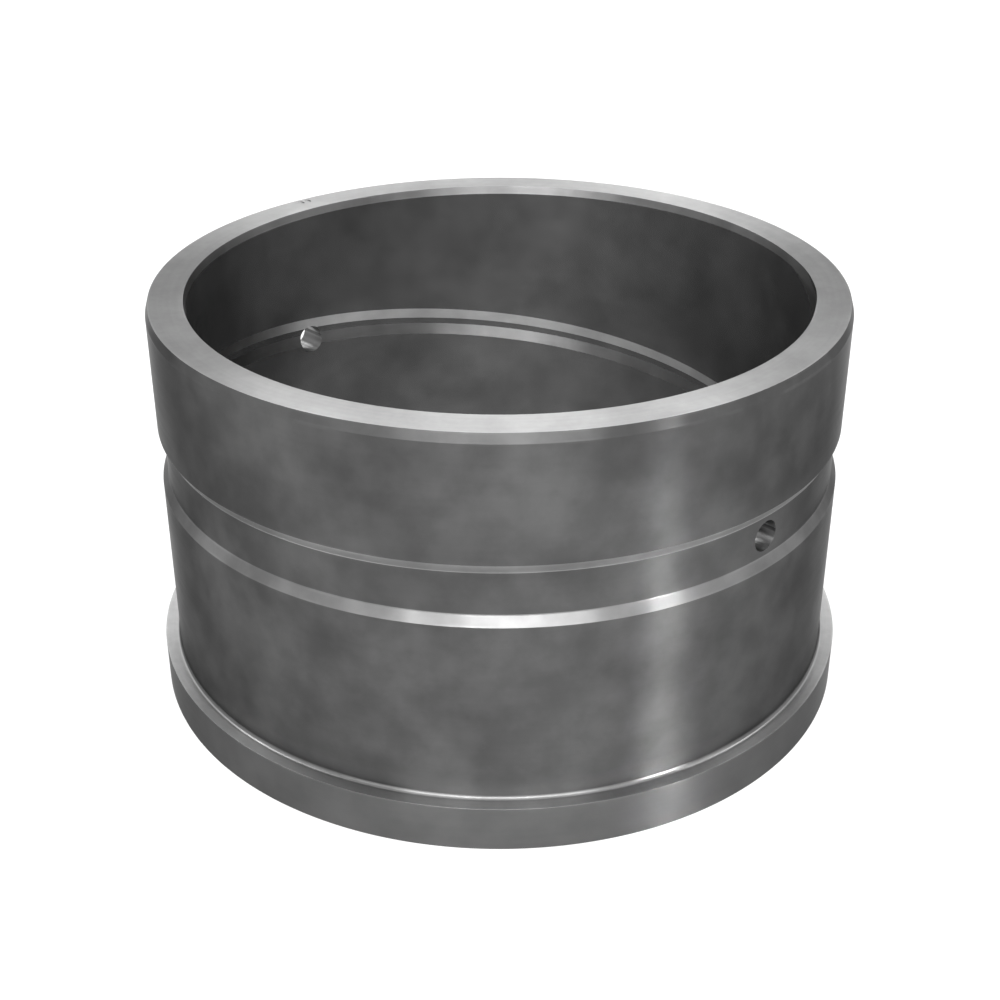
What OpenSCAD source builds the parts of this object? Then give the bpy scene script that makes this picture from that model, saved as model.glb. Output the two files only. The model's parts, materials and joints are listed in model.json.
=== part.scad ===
// Flanged sleeve bushing, turned from one piece of steel.
// It stands on its flange: +Z runs up the axis, z = 0 is the underside of the flange.
// Azimuths are measured from +X, anticlockwise seen from above.

/* [Sleeve] */
// Diameter of the running bore
bore_d = 80; // [50:1:140]
// Thickness of the wall between the bore and the outside, a press fit in its housing
wall_t = 5; // [3:0.5:12]
// Length over all, flange included
length = 54; // [46:1:80]

/* [Flange] */
// How far the flange stands out from the sleeve all round
flange_out = 2; // [1:0.25:15]
// Thickness of the flange
flange_t = 6; // [3:0.5:12]
// Radius in the corner where the sleeve meets the flange
root_r = 0.5; // [0.2:0.1:0.8]

/* [Lead-in chamfers] */
// Height of the outer chamfer that starts the press fit
outer_lead_h = 1.2; // [0.5:0.1:3]
// How far the outer chamfer steps in from the sleeve
outer_lead_in = 0.35; // [0.1:0.05:1]
// Height of the chamfer at both ends of the bore
bore_lead_h = 1.1; // [0.5:0.1:3]
// How far the bore chamfer opens out from the bore
bore_lead_out = 0.22; // [0.1:0.02:0.8]

/* [Outer grease groove] */
// Height of the middle of the groove above the foot
ring_z = 34; // [14:1:42]
// Width of the groove at the outside surface
ring_w = 8; // [4:0.5:12]
// Depth of the groove
ring_depth = 0.75; // [0.3:0.05:1.5]
// Height that each sloped flank takes from the floor's width
ring_flank_h = 1.25; // [0.25:0.25:1.75]

/* [Grease holes] */
// Diameter of the holes drilled through the floor of the outer groove
hole_d = 4; // [2:0.5:5]
// How many holes, evenly spaced round the sleeve
hole_n = 2; // [1:1:6]
// Azimuth of the first hole
hole_azimuth = 135; // [0:5:355]

/* [Spiral oil groove] */
// Rise of the spiral in one turn
spiral_lead = 30; // [20:1:60]
// Width of the groove at the bore
spiral_w = 4.2; // [3.5:0.1:6]
// Depth of the groove
spiral_depth = 0.4; // [0.2:0.05:1]
// Height that each sloped flank takes from the floor's width
spiral_flank_h = 1.65; // [0.25:0.1:1.65]
// Azimuth at which the middle of the groove leaves the top face
spiral_azimuth = 0; // [0:5:355]

/* [Hidden] */

bore_r = bore_d / 2;
sleeve_r = bore_r + wall_t;
flange_r = sleeve_r + flange_out;
// How far every cutter runs past the surface that it cuts
overrun = 0.5;
// Angle between two cross-sections of the spiral groove's cutter
spiral_step_angle = 4;

$fn = 180;

// Outline of the wall right of the axis: up the bore from the foot,
// across the top face and down the outside, with the outer groove cut in.
module wall_outline() {
    difference() {
        polygon([
            [bore_r + bore_lead_out, 0],
            [bore_r, bore_lead_h],
            [bore_r, length - bore_lead_h],
            [bore_r + bore_lead_out, length],
            [sleeve_r - outer_lead_in, length],
            [sleeve_r, length - outer_lead_h],
            [sleeve_r, flange_t + root_r],
            [sleeve_r + root_r, flange_t],
            [flange_r, flange_t],
            [flange_r, 0]
        ]);
        ring_outline();
    }
    root_outline();
}

// The corner between sleeve and flange, filled up to a hollow round
module root_outline() {
    difference() {
        translate([sleeve_r - root_r, flange_t - root_r]) square(2 * root_r);
        translate([sleeve_r + root_r, flange_t + root_r]) circle(root_r, $fn = 48);
    }
}

// Cross-section of the outer groove, with sloped flanks and a flat floor
module ring_outline() {
    mouth_half = ring_w / 2 + overrun * ring_flank_h / ring_depth;
    floor_half = ring_w / 2 - ring_flank_h;
    translate([sleeve_r, ring_z])
        polygon([
            [-ring_depth, -floor_half],
            [overrun, -mouth_half],
            [overrun, mouth_half],
            [-ring_depth, floor_half]
        ]);
}

// The turned blank: the outline spun about the axis
module turned_blank() {
    rotate_extrude() wall_outline();
}

// Radial drills through the floor of the outer groove
module grease_drills() {
    for (i = [0 : hole_n - 1])
        rotate([0, 0, hole_azimuth + i * 360 / hole_n])
            translate([bore_r - overrun, 0, ring_z])
                rotate([0, 90, 0])
                    cylinder(d = hole_d, h = sleeve_r - bore_r + 2 * overrun, $fn = 48);
}

// Cutter of the spiral oil groove. Its cross-section is a trapezium that opens
// towards the axis, and it runs out through the top face and through the foot.
module spiral_cutter() {
    mouth_half = spiral_w / 2 + overrun * spiral_flank_h / spiral_depth;
    floor_half = spiral_w / 2 - spiral_flank_h;
    end_past = mouth_half + overrun;
    rise_per_degree = spiral_lead / 360;
    turned_angle = (length + 2 * end_past) / rise_per_degree;
    steps = ceil(turned_angle / spiral_step_angle);
    section = [
        [bore_r - overrun, -mouth_half],
        [bore_r + spiral_depth, -floor_half],
        [bore_r + spiral_depth, floor_half],
        [bore_r - overrun, mouth_half]
    ];
    corners = len(section);
    points = [
        for (i = [0 : steps])
            let (angle = (i / steps - 1) * turned_angle + end_past / rise_per_degree)
            for (p = section)
                [
                    p[0] * cos(spiral_azimuth + angle),
                    p[0] * sin(spiral_azimuth + angle),
                    length + angle * rise_per_degree + p[1]
                ]
    ];
    side_faces = [
        for (i = [0 : steps - 1])
            for (k = [0 : corners - 1])
                let (
                    a = i * corners + k,
                    b = i * corners + (k + 1) % corners,
                    c = a + corners,
                    d = b + corners
                )
                each [[a, b, d], [a, d, c]]
    ];
    first_face = [for (k = [corners - 1 : -1 : 0]) k];
    last_face = [for (k = [0 : corners - 1]) steps * corners + k];
    polyhedron(points = points, faces = concat(side_faces, [first_face, last_face]));
}

module bushing() {
    color([0.45, 0.45, 0.46])
        difference() {
            turned_blank();
            grease_drills();
            spiral_cutter();
        }
}

bushing();
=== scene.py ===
import json
import math

import bmesh
import bpy
from mathutils import Matrix, Vector


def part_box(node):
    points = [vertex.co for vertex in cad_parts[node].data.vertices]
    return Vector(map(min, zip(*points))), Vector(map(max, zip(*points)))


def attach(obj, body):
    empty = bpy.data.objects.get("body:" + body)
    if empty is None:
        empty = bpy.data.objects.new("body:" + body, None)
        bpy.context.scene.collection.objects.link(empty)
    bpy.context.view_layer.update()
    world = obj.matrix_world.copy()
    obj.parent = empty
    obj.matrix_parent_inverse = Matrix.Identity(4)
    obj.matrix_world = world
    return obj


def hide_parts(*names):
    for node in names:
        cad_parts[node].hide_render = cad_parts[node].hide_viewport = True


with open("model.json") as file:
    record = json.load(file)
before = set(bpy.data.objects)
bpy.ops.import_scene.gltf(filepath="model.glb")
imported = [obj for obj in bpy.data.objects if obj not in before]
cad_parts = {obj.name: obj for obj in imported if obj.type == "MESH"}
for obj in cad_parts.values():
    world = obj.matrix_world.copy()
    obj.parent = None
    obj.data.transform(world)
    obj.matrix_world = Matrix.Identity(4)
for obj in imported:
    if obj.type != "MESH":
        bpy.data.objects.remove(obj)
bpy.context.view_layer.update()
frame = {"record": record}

# Camera
# It looks down into the bushing from in front, with the axis upright in the middle of
# the picture. The optical centre lies half a pixel beside the middle of the frame.
LOOK_DOWN = 28.502
camera_data = bpy.data.cameras.new("camera")
camera_data.lens = 56.83
camera_data.shift_x = 0.0005
camera_data.clip_start = 0.01
camera_data.clip_end = 20
camera = bpy.data.objects.new("camera", camera_data)
camera.location = (0, -0.19238, 0.12627)
camera.rotation_euler = (math.radians(90 - LOOK_DOWN), 0, 0)
bpy.context.collection.objects.link(camera)
bpy.context.scene.camera = camera

# Turned blank
# The bushing is one piece of steel. Its whole outline is turned on a lathe: bore, faced
# ends, lead-in chamfers, press-fit outside, shallow grease groove, root radius and flange.
MM = 0.001
mounts = {mount["name"]: mount for mount in frame["record"]["mounts"]}
_, top_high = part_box("bushing")
length = top_high.z
flange_r = top_high.x
flange_t = mounts["flange_shoulder"]["pos_m"][2]
bore_r = mounts["bore"]["dims"]["r_mm"] * MM
sleeve_r = mounts["sleeve_outside"]["dims"]["r_mm"] * MM
root_r = 0.5 * MM
outer_lead_h = 1.2 * MM
outer_lead_in = 0.35 * MM
bore_lead_h = 1.1 * MM
bore_lead_out = 0.22 * MM
ring_z = 34 * MM
ring_w = 8 * MM
ring_depth = 0.75 * MM
ring_flank_h = 1.25 * MM
edge_break = 0.03 * MM
tool_tip_r = 0.12 * MM
ROOT_SEGMENTS = 8
EDGE_SEGMENTS = 3
TURN_STEPS = 360
MERGE_WITHIN = 0.001 * MM

blank = bmesh.new()
outline = [
    (bore_r + bore_lead_out, 0),
    (bore_r, bore_lead_h),
    (bore_r, length - bore_lead_h),
    (bore_r + bore_lead_out, length),
    (sleeve_r - outer_lead_in, length),
    (sleeve_r, length - outer_lead_h),
    (sleeve_r, ring_z + ring_w / 2),
    (sleeve_r - ring_depth, ring_z + ring_w / 2 - ring_flank_h),
    (sleeve_r - ring_depth, ring_z - ring_w / 2 + ring_flank_h),
    (sleeve_r, ring_z - ring_w / 2),
    (sleeve_r, flange_t),
    (flange_r, flange_t),
    (flange_r, 0),
]
corners = [blank.verts.new((r, 0, z)) for r, z in outline]
blank.faces.new(corners)
root_corner = corners[10:11]
ring_floor_corners = corners[7:9]
outside_corners = corners[:7] + corners[9:10] + corners[11:]
for rounded, round_r, segments in (
    (root_corner, root_r, ROOT_SEGMENTS),
    (ring_floor_corners, tool_tip_r, EDGE_SEGMENTS),
    (outside_corners, edge_break, EDGE_SEGMENTS),
):
    bmesh.ops.bevel(
        blank, geom=rounded, offset=round_r, segments=segments, profile=0.5,
        affect="VERTICES", material=-1,
    )
bmesh.ops.delete(blank, geom=blank.faces[:], context="FACES_ONLY")
bmesh.ops.spin(
    blank, geom=blank.verts[:] + blank.edges[:], cent=(0, 0, 0), axis=(0, 0, 1),
    angle=math.tau, steps=TURN_STEPS, use_merge=True,
)
bmesh.ops.remove_doubles(blank, verts=blank.verts[:], dist=MERGE_WITHIN)
bmesh.ops.recalc_face_normals(blank, faces=blank.faces[:])
bushing_mesh = bpy.data.meshes.new("bushing_steel")
blank.to_mesh(bushing_mesh)
blank.free()
bushing = bpy.data.objects.new("bushing_steel", bushing_mesh)
bpy.context.collection.objects.link(bushing)

# Spiral oil groove
# A shallow groove with sloped flanks, cut into the bore along a right-hand screw line.
# It passes the grease hole and runs out through the top face.
spiral_lead = 30 * MM
spiral_w = 4.2 * MM
spiral_depth = 0.4 * MM
spiral_flank_h = 1.65 * MM
overrun = 0.5 * MM
spiral_mouth = spiral_w / 2 + overrun * spiral_flank_h / spiral_depth
spiral_floor = spiral_w / 2 - spiral_flank_h
past_end = spiral_mouth + overrun
spiral_steps = math.ceil((length + 2 * past_end) / spiral_lead * TURN_STEPS)
spiral_turn = math.tau * spiral_steps / TURN_STEPS
SPIRAL_MERGE_WITHIN = 0.0001 * MM


def cut_away(piece, cutter_mesh):
    """Takes the cutter's volume out of the piece and keeps only the cut mesh."""
    cutter = bpy.data.objects.new("cutter", cutter_mesh)
    bpy.context.collection.objects.link(cutter)
    cut = piece.modifiers.new("cut", "BOOLEAN")
    cut.operation = "DIFFERENCE"
    cut.solver = "EXACT"
    cut.object = cutter
    depsgraph = bpy.context.evaluated_depsgraph_get()
    piece_now = piece.evaluated_get(depsgraph)
    result = bpy.data.meshes.new_from_object(piece_now, depsgraph=depsgraph)
    piece.modifiers.clear()
    piece.data = result
    bpy.data.objects.remove(cutter)


spiral = bmesh.new()
section = [
    (bore_r - overrun, -spiral_mouth),
    (bore_r + spiral_depth, -spiral_floor),
    (bore_r + spiral_depth, spiral_floor),
    (bore_r - overrun, spiral_mouth),
]
start_face = spiral.faces.new([spiral.verts.new((r, 0, z)) for r, z in section])
half_step = math.tau / TURN_STEPS / 2
top_turn = math.tau * (past_end / spiral_lead) + half_step
start_turn = top_turn - spiral_turn
start_z = length + start_turn / math.tau * spiral_lead
to_start = Matrix.Rotation(start_turn, 3, "Z")
bmesh.ops.rotate(spiral, cent=(0, 0, 0), matrix=to_start, verts=spiral.verts[:])
bmesh.ops.translate(spiral, vec=(0, 0, start_z), verts=spiral.verts[:])
bmesh.ops.spin(
    spiral, geom=[start_face], cent=(0, 0, 0), axis=(0, 0, 1),
    dvec=(0, 0, spiral_lead / TURN_STEPS), angle=spiral_turn, steps=spiral_steps,
)
bmesh.ops.remove_doubles(spiral, verts=spiral.verts[:], dist=SPIRAL_MERGE_WITHIN)
bmesh.ops.recalc_face_normals(spiral, faces=spiral.faces[:])
for face in spiral.faces:
    face.material_index = 1
spiral_mesh = bpy.data.meshes.new("spiral")
spiral.to_mesh(spiral_mesh)
spiral.free()
cut_away(bushing, spiral_mesh)

# Grease holes
# Two holes drilled straight through the wall, opposite each other, from the floor of
# the outer groove into the bore. The one behind meets the spiral groove.
hole_d = 4 * MM
hole_azimuths = (math.radians(135), math.radians(315))
HOLE_STEPS = 72
QUARTER_TURN = math.tau / 4
mid_wall_r = (bore_r + sleeve_r) / 2
drills = bmesh.new()
for azimuth in hole_azimuths:
    drill_place = (
        Matrix.Rotation(azimuth, 4, "Z")
        @ Matrix.Translation((mid_wall_r, 0, ring_z))
        @ Matrix.Rotation(QUARTER_TURN, 4, "Y")
    )
    bmesh.ops.create_cone(
        drills, cap_ends=True, segments=HOLE_STEPS, radius1=hole_d / 2, radius2=hole_d / 2,
        depth=sleeve_r - bore_r + 2 * overrun, matrix=drill_place,
    )
for face in drills.faces:
    face.material_index = 1
drills_mesh = bpy.data.meshes.new("drills")
drills.to_mesh(drills_mesh)
drills.free()
cut_away(bushing, drills_mesh)

# Nicks in the rim
# Two blows have left pits beside each other in the top face, behind and to the left. Each
# is almost a millimetre and a half long, running inwards from near the outer edge.
nick_r = 0.5 * MM
nick_above = 0.34 * MM
nick_inset = 1.1 * MM
nick_place_r = sleeve_r - outer_lead_in - nick_inset
nick_azimuths = (math.radians(130.4), math.radians(131.95))
NICK_STRETCH = 1.9
NICK_SUBDIVISIONS = 3
nicks = bmesh.new()
for azimuth in nick_azimuths:
    nick_place = (
        Matrix.Rotation(azimuth, 4, "Z")
        @ Matrix.Translation((nick_place_r, 0, length + nick_above))
        @ Matrix.Diagonal((NICK_STRETCH, 1, 1, 1))
    )
    bmesh.ops.create_icosphere(
        nicks, subdivisions=NICK_SUBDIVISIONS, radius=nick_r, matrix=nick_place,
    )
for face in nicks.faces:
    face.material_index = 1
nicks_mesh = bpy.data.meshes.new("nicks")
nicks.to_mesh(nicks_mesh)
nicks.free()
cut_away(bushing, nicks_mesh)

# Edges of the finished piece
# The turned corners have their small rounds and are shaded smoothly through them. The
# edges that the groove cutter, the drills and the blows have left stay crisp.
SHARP = math.radians(8)
FULL_WEIGHT = 100
final = bmesh.new()
final.from_mesh(bushing.data)
for face in final.faces:
    face.smooth = True
for edge in final.edges:
    cut_edge = any(face.material_index == 1 for face in edge.link_faces)
    edge.smooth = not (cut_edge and edge.calc_face_angle(0) > SHARP)
for face in final.faces:
    face.material_index = 0
final.to_mesh(bushing.data)
final.free()
weighted = bushing.modifiers.new("weighted", "WEIGHTED_NORMAL")
weighted.mode = "FACE_AREA"
weighted.keep_sharp = True
weighted.weight = FULL_WEIGHT
depsgraph = bpy.context.evaluated_depsgraph_get()
bushing_now = bushing.evaluated_get(depsgraph)
bushing_final = bpy.data.meshes.new_from_object(bushing_now, depsgraph=depsgraph)
bushing.modifiers.clear()
bushing.data = bushing_final
bushing.data.name = "bushing_steel"

# Steel
# Satin turned steel, left bare. The walls are dark with soft clouds, the faced ends and the
# flanks of the grooves are brighter, and fine tool marks run round the axis everywhere.
WALL_GREY = 0.085
BORE_GREY = 0.1
# The upper flanks face down, and their lighter greys hold painted reflected light
RING_UPPER_PAINTED_LIGHT_GREY = 0.28
RING_LOWER_GREY = 0.16
SPIRAL_UPPER_PAINTED_LIGHT_GREY = 0.35
SPIRAL_LOWER_GREY = 0.17
OUTER_CHAMFER_GREY = 0.09
BORE_CHAMFER_GREY = 0.2
END_GREY = 0.32
FLANGE_SIDE_GREY = 0.115
GRAZING_TINT = 0.43
BLEND_OVER = 0.5 * MM
BORE_BLEND = 0.05 * MM

steel = bpy.data.materials.new("satin_turned_steel")
steel.use_nodes = True
nodes = steel.node_tree.nodes
links = steel.node_tree.links
shader = nodes["Principled BSDF"]
shader.inputs["Anisotropic"].default_value = 0.9
shader.inputs["Anisotropic Rotation"].default_value = 0.25
shader.inputs["Specular Tint"].default_value = (GRAZING_TINT, GRAZING_TINT, GRAZING_TINT, 1)


def add_node(kind, settings, sources, output=0):
    """Makes a node with its settings, links or sets its inputs, and gives one output."""
    made = nodes.new("ShaderNode" + kind)
    for setting, value in settings.items():
        setattr(made, setting, value)
    for socket, source in sources.items():
        if isinstance(source, bpy.types.NodeSocket):
            links.new(source, made.inputs[socket])
        else:
            made.inputs[socket].default_value = source
    return made.outputs[output]


def math_node(operation, first, second):
    return add_node("Math", {"operation": operation}, {0: first, 1: second})


def ramp(value, start, end, low=0, high=1):
    """Goes smoothly from low to high while the value goes from start to end."""
    return add_node("MapRange", {"interpolation_type": "SMOOTHSTEP"}, {
        "Value": value, "From Min": start, "From Max": end, "To Min": low, "To Max": high,
    })


def blend(low, high, share):
    return add_node("Mix", {"data_type": "FLOAT"}, {"Factor": share, "A": low, "B": high})


place = add_node("TexCoord", {}, {}, "Object")
place_x = add_node("SeparateXYZ", {}, {0: place}, "X")
place_y = add_node("SeparateXYZ", {}, {0: place}, "Y")
height = add_node("SeparateXYZ", {}, {0: place}, "Z")
level_place = add_node("CombineXYZ", {}, {"X": place_x, "Y": place_y})
radius = add_node("VectorMath", {"operation": "LENGTH"}, {0: level_place}, "Value")
normal = add_node("NewGeometry", {}, {}, "Normal")
normal_z = add_node("SeparateXYZ", {}, {0: normal}, "Z")
slope = add_node("Math", {"operation": "ABSOLUTE"}, {0: normal_z})

# Where each cut of the tool shows: bore or outside, flank, faced end, flange
WALL_SLOPE = 0.09
FLANK_SLOPE = 0.16
STEEPEST_FLANK = 0.8
FACE_SLOPE = 0.95
LEVEL_SLOPE = 0.05
bore_zone_r = bore_r + BLEND_OVER
in_bore = ramp(radius, bore_zone_r, bore_zone_r - BORE_BLEND)
on_flank = ramp(slope, WALL_SLOPE, FLANK_SLOPE)
on_face = ramp(slope, STEEPEST_FLANK, FACE_SLOPE)
at_flange = ramp(height, flange_t + 2 * BLEND_OVER, flange_t + BLEND_OVER)
beyond_sleeve = ramp(radius, sleeve_r, sleeve_r + 2 * BLEND_OVER)
on_flange = math_node("MULTIPLY", at_flange, beyond_sleeve)

# The wall is a little brighter just above the flange: a painted reflection of the flange's face
WALL_FOOT_REFLECTION_GREY = 0.12
WALL_FOOT_TALL = 3 * MM
wall_foot_z = flange_t + root_r
in_foot_reflection = ramp(height, wall_foot_z + WALL_FOOT_TALL, wall_foot_z)
wall_grey = blend(WALL_GREY, WALL_FOOT_REFLECTION_GREY, in_foot_reflection)
wall_grey = blend(wall_grey, BORE_GREY, in_bore)
wall_grey = blend(wall_grey, FLANGE_SIDE_GREY, on_flange)
# Flanks that face down get a lighter grey than flanks that face up: painted reflected light on
# the downward flanks
faces_up = ramp(normal_z, -LEVEL_SLOPE, LEVEL_SLOPE)
ring_flank_grey = blend(RING_UPPER_PAINTED_LIGHT_GREY, RING_LOWER_GREY, faces_up)
spiral_flank_grey = blend(SPIRAL_UPPER_PAINTED_LIGHT_GREY, SPIRAL_LOWER_GREY, faces_up)
flank_grey = blend(ring_flank_grey, spiral_flank_grey, in_bore)

# The flange's face is painted darker in front, and more to the right than the left: painted
# shade
SHOULDER_GREY = 0.5
SHOULDER_SHADED_GREY = 0.26
SHADE_SLANT = 0.15
SHADE_FULL = -45 * MM
SHADE_ENDS = -5 * MM
shade_line = math_node("SUBTRACT", place_y, math_node("MULTIPLY", place_x, SHADE_SLANT))
front_shade = ramp(shade_line, SHADE_ENDS, SHADE_FULL)
shoulder_grey = blend(SHOULDER_GREY, SHOULDER_SHADED_GREY, front_shade)
face_grey = blend(END_GREY, shoulder_grey, at_flange)
outer_chamfer_foot = length - outer_lead_h
on_chamfer = ramp(height, outer_chamfer_foot - 2 * edge_break, outer_chamfer_foot - edge_break)
chamfer_grey = blend(OUTER_CHAMFER_GREY, BORE_CHAMFER_GREY, in_bore)
flank_grey = blend(flank_grey, chamfer_grey, on_chamfer)
cut_grey = blend(blend(wall_grey, flank_grey, on_flank), face_grey, on_face)

# Soft clouds and smaller patches, left by handling and by the oil. The bore shows them
# almost in full, the flange's side by half and the faced ends less.
CLOUDS_PER_METRE = 60
CLOUD_DETAIL = 3
CLOUD_DARK = 0.8
CLOUD_BRIGHT = 1.22
PATCHES_PER_METRE = 190
PATCH_DETAIL = 6
PATCH_DARK = 0.88
PATCH_BRIGHT = 1.12
BORE_EVEN = 0.1
FLANGE_EVEN = 0.5
FACE_EVEN = 0.6
NOISE_LOW = 0.3
NOISE_HIGH = 0.7
NOISE_ROUGHNESS = 0.55


def noise(where, scale, detail):
    return add_node("TexNoise", {}, {
        "Vector": where, "Scale": scale, "Detail": detail, "Roughness": NOISE_ROUGHNESS,
    })


def noise_ramp(pattern, low, high):
    """Spreads the usual range of a noise from low to high."""
    return ramp(pattern, NOISE_LOW, NOISE_HIGH, low, high)


clouds = noise(place, CLOUDS_PER_METRE, CLOUD_DETAIL)
patches = noise(place, PATCHES_PER_METRE, PATCH_DETAIL)
even = blend(math_node("MULTIPLY", in_bore, BORE_EVEN), FLANGE_EVEN, on_flange)
even = blend(even, FACE_EVEN, on_face)
cloud_share = blend(noise_ramp(clouds, CLOUD_DARK, CLOUD_BRIGHT), 1, even)
patch_share = blend(noise_ramp(patches, PATCH_DARK, PATCH_BRIGHT), 1, even)

# Fine grain of the faced ends
GRAIN_PER_METRE = 900
GRAIN_DETAIL = 2
GRAIN_SPREAD = 0.03
grain = noise(place, GRAIN_PER_METRE, GRAIN_DETAIL)
grain_share = blend(1, noise_ramp(grain, 1 - GRAIN_SPREAD, 1 + GRAIN_SPREAD), on_face)

# Tool marks: stretched far round the axis, narrow across it, on walls and faces alike
MARKS_ROUND = 45
MARKS_ACROSS = 1800
MARK_DETAIL = 1
WALL_MARK_SPREAD = 0.01
FACE_MARK_SPREAD = 0.03
along_outline = math_node("ADD", radius, height)
marks_place = add_node("CombineXYZ", {}, {
    "X": math_node("MULTIPLY", place_x, MARKS_ROUND),
    "Y": math_node("MULTIPLY", place_y, MARKS_ROUND),
    "Z": math_node("MULTIPLY", along_outline, MARKS_ACROSS),
})
marks = noise(marks_place, 1, MARK_DETAIL)
mark_spread = blend(WALL_MARK_SPREAD, FACE_MARK_SPREAD, on_face)
mark_change = math_node("MULTIPLY", noise_ramp(marks, -1, 1), mark_spread)
mark_share = math_node("ADD", 1, mark_change)

# Edges rubbed bright here and there, by the distance to the outline's corners
EDGE_REACH = 0.3 * MM
EDGE_CORE = 0.12 * MM
RUBS_PER_METRE = 130
RUB_DETAIL = 2
RUB_STARTS = 0.42
RUB_FULL = 0.65
RUB_BRIGHT = 1.15
FAR_FROM_EDGES = 1
outline_place = add_node("CombineXYZ", {}, {"X": radius, "Y": height})
edge_gap = FAR_FROM_EDGES
for r, z in outline:
    corner_gap = add_node("VectorMath", {"operation": "DISTANCE"}, {
        0: outline_place, 1: (r, z, 0),
    }, "Value")
    edge_gap = math_node("MINIMUM", edge_gap, corner_gap)
near_edge = ramp(edge_gap, EDGE_REACH, EDGE_CORE)
rub_pattern = noise(place, RUBS_PER_METRE, RUB_DETAIL)
rubbed = math_node("MULTIPLY", near_edge, ramp(rub_pattern, RUB_STARTS, RUB_FULL))

grey = math_node("MULTIPLY", cut_grey, cloud_share)
grey = math_node("MULTIPLY", grey, patch_share)
grey = math_node("MULTIPLY", grey, grain_share)
grey = math_node("MULTIPLY", grey, mark_share)
grey = math_node("MULTIPLY", grey, blend(1, RUB_BRIGHT, rubbed))
colour = add_node("CombineColor", {}, {"Red": grey, "Green": grey, "Blue": grey})
links.new(colour, shader.inputs["Base Color"])

# The bore is honed, and a dull film of oil and oxide lies in its scratches. The root
# radius is burnished by the tool's nose.
CLEAN_ROUGHNESS = 0.3
CLOUDY_ROUGHNESS = 0.34
MARK_ROUGHNESS = 0.01
RUB_ROUGHNESS = 0.29
ROOT_ROUGHNESS = 0.285
BORE_ROUGHNESS = 0.25
BORE_METAL = 0.75
ROOT_EDGE_R = 1.15 * root_r
ROOT_CORE_R = 1.05 * root_r
root_centre = (sleeve_r + root_r, flange_t + root_r, 0)
root_gap = add_node("VectorMath", {"operation": "DISTANCE"}, {
    0: outline_place, 1: root_centre,
}, "Value")
in_root = ramp(root_gap, ROOT_EDGE_R, ROOT_CORE_R)
honed = math_node("MULTIPLY", in_bore, math_node("SUBTRACT", 1, on_flank))
roughness = noise_ramp(clouds, CLOUDY_ROUGHNESS, CLEAN_ROUGHNESS)
roughness = math_node("ADD", roughness, noise_ramp(marks, -MARK_ROUGHNESS, MARK_ROUGHNESS))
roughness = blend(roughness, RUB_ROUGHNESS, rubbed)
roughness = blend(roughness, ROOT_ROUGHNESS, in_root)
roughness = blend(roughness, BORE_ROUGHNESS, honed)
links.new(roughness, shader.inputs["Roughness"])
links.new(blend(1, BORE_METAL, honed), shader.inputs["Metallic"])

# The marks stand a few thousandths of a millimetre high
MARK_HEIGHT = 0.003 * MM
surface_height = math_node("ADD", marks, patches)
bump = add_node("Bump", {}, {"Strength": 1, "Distance": MARK_HEIGHT, "Height": surface_height})
links.new(bump, shader.inputs["Normal"])

turning_direction = add_node("Tangent", {"direction_type": "RADIAL", "axis": "Z"}, {})
links.new(turning_direction, shader.inputs["Tangent"])
bushing.data.materials.clear()
bushing.data.materials.append(steel)
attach(bushing, "root")
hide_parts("bushing")

# Studio
# A plain white floor in a white room, seen white in the steel too. Soft panels stand all
# round and above, the brightest in front, and a narrow one draws the streak on the wall.
FLOOR_WHITE = 0.35
FLOOR_GLOW = 0.65
FLOOR_R = 4
FLOOR_SIDES = 96
ROOM_LIGHT = 0.8
floor_circle = bmesh.new()
bmesh.ops.create_circle(floor_circle, cap_ends=True, segments=FLOOR_SIDES, radius=FLOOR_R)
floor_mesh = bpy.data.meshes.new("floor")
floor_circle.to_mesh(floor_mesh)
floor_circle.free()
floor = bpy.data.objects.new("floor", floor_mesh)
bpy.context.collection.objects.link(floor)

floor_paint = bpy.data.materials.new("floor_paint")
floor_paint.use_nodes = True
floor_mesh.materials.append(floor_paint)
nodes = floor_paint.node_tree.nodes
links = floor_paint.node_tree.links
paint = nodes["Principled BSDF"]
paint.inputs["Base Color"].default_value = (FLOOR_WHITE, FLOOR_WHITE, FLOOR_WHITE, 1)
paint.inputs["Roughness"].default_value = 1
paint.inputs["Specular IOR Level"].default_value = 0
paint.inputs["Emission Color"].default_value = (1, 1, 1, 1)


def where_seen(strength_seen, strength_unseen):
    """One strength where the camera sees it, straight or in metal, and another elsewhere."""
    camera_sees = add_node("LightPath", {}, {}, "Is Camera Ray")
    metal_sees = add_node("LightPath", {}, {}, "Is Glossy Ray")
    glass_sees = add_node("LightPath", {}, {}, "Is Transmission Ray")
    seen = math_node("MAXIMUM", math_node("MAXIMUM", camera_sees, metal_sees), glass_sees)
    return blend(strength_unseen, strength_seen, seen)


links.new(where_seen(FLOOR_GLOW, 0), paint.inputs["Emission Strength"])

world = bpy.data.worlds.new("studio")
world.use_nodes = True
nodes = world.node_tree.nodes
links = world.node_tree.links
room = nodes["Background"]
room.inputs["Color"].default_value = (1, 1, 1, 1)
links.new(where_seen(1, ROOM_LIGHT), room.inputs["Strength"])
bpy.context.scene.world = world
bpy.context.scene.view_settings.view_transform = "Standard"


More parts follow.
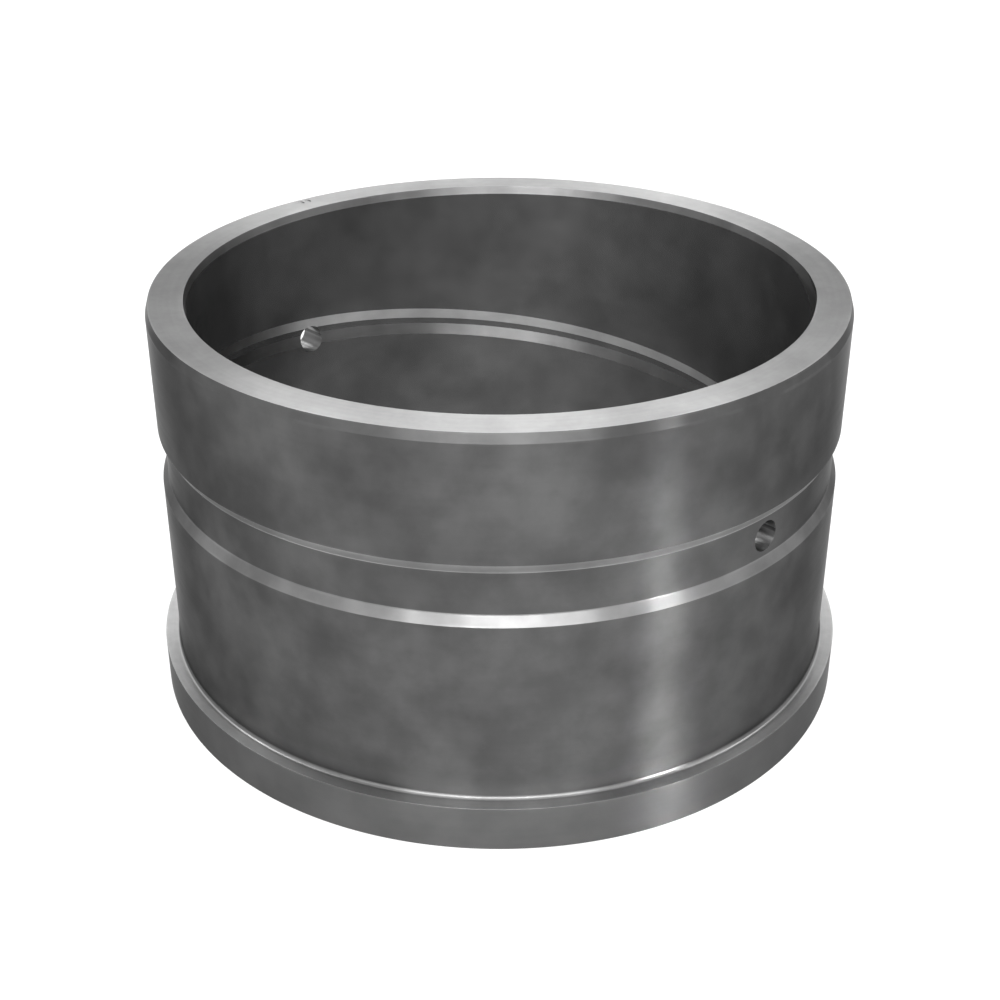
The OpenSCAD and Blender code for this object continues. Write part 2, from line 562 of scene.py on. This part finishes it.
def add_panel(name, azimuth, elevation, width, tall, brightness, distance=0.9, aim=(0, 0, 0.03)):
    """A soft lamp at an azimuth and elevation in degrees, turned to face its aim."""
    panel_data = bpy.data.lights.new(name, "AREA")
    panel_data.shape = "RECTANGLE"
    panel_data.size = width
    panel_data.size_y = tall
    panel_data.energy = math.pi * width * tall * brightness
    panel = bpy.data.objects.new(name, panel_data)
    turn = math.radians(azimuth)
    rise = math.radians(elevation)
    level = math.cos(rise)
    toward = Vector((math.cos(turn) * level, math.sin(turn) * level, math.sin(rise)))
    panel.location = Vector(aim) + distance * toward
    panel.rotation_euler = toward.to_track_quat("Z", "Y").to_euler()
    bpy.context.collection.objects.link(panel)
    return panel_data


add_panel("behind_low_left", azimuth=97, elevation=16, width=0.1, tall=0.15, brightness=2.3)
add_panel("behind_low_right", azimuth=83, elevation=16, width=0.1, tall=0.15, brightness=4.2)
add_panel("behind", azimuth=90, elevation=42, width=0.22, tall=0.22, brightness=4.7)
add_panel("behind_left", azimuth=108, elevation=45, width=0.15, tall=0.2, brightness=4)
add_panel("behind_right", azimuth=72, elevation=45, width=0.15, tall=0.2, brightness=3.5)
add_panel("high_left", azimuth=145, elevation=55, width=0.3, tall=0.3, brightness=4.5)
add_panel("high_right", azimuth=35, elevation=55, width=0.3, tall=0.3, brightness=4.5)
add_panel("side_left", azimuth=200, elevation=36, width=0.3, tall=0.3, brightness=1.6)
add_panel("front_left", azimuth=226, elevation=36, width=0.25, tall=0.3, brightness=2)
add_panel("key_left", azimuth=250, elevation=33, width=0.31, tall=0.25, brightness=10.5)
add_panel("key", azimuth=270, elevation=33, width=0.31, tall=0.25, brightness=15)
add_panel("key_right", azimuth=290, elevation=33, width=0.31, tall=0.25, brightness=9)
add_panel("front_right", azimuth=315, elevation=36, width=0.3, tall=0.3, brightness=1)
add_panel("side_right", azimuth=342, elevation=36, width=0.3, tall=0.3, brightness=2)
add_panel("low_left", azimuth=240, elevation=12, width=0.5, tall=0.2, brightness=3)
add_panel("low_front", azimuth=270, elevation=8, width=0.9, tall=0.15, brightness=0.9)
add_panel("low_right", azimuth=300, elevation=12, width=0.5, tall=0.2, brightness=0.8)
add_panel("overhead", azimuth=270, elevation=82, width=0.7, tall=0.7, brightness=0.8)
streak = add_panel(
    "streak", azimuth=321, elevation=3.7, width=0.13, tall=0.04, brightness=1.2,
    distance=0.5, aim=(0.0205, -0.0405, 0.004),
)
streak.spread = math.radians(12.5)
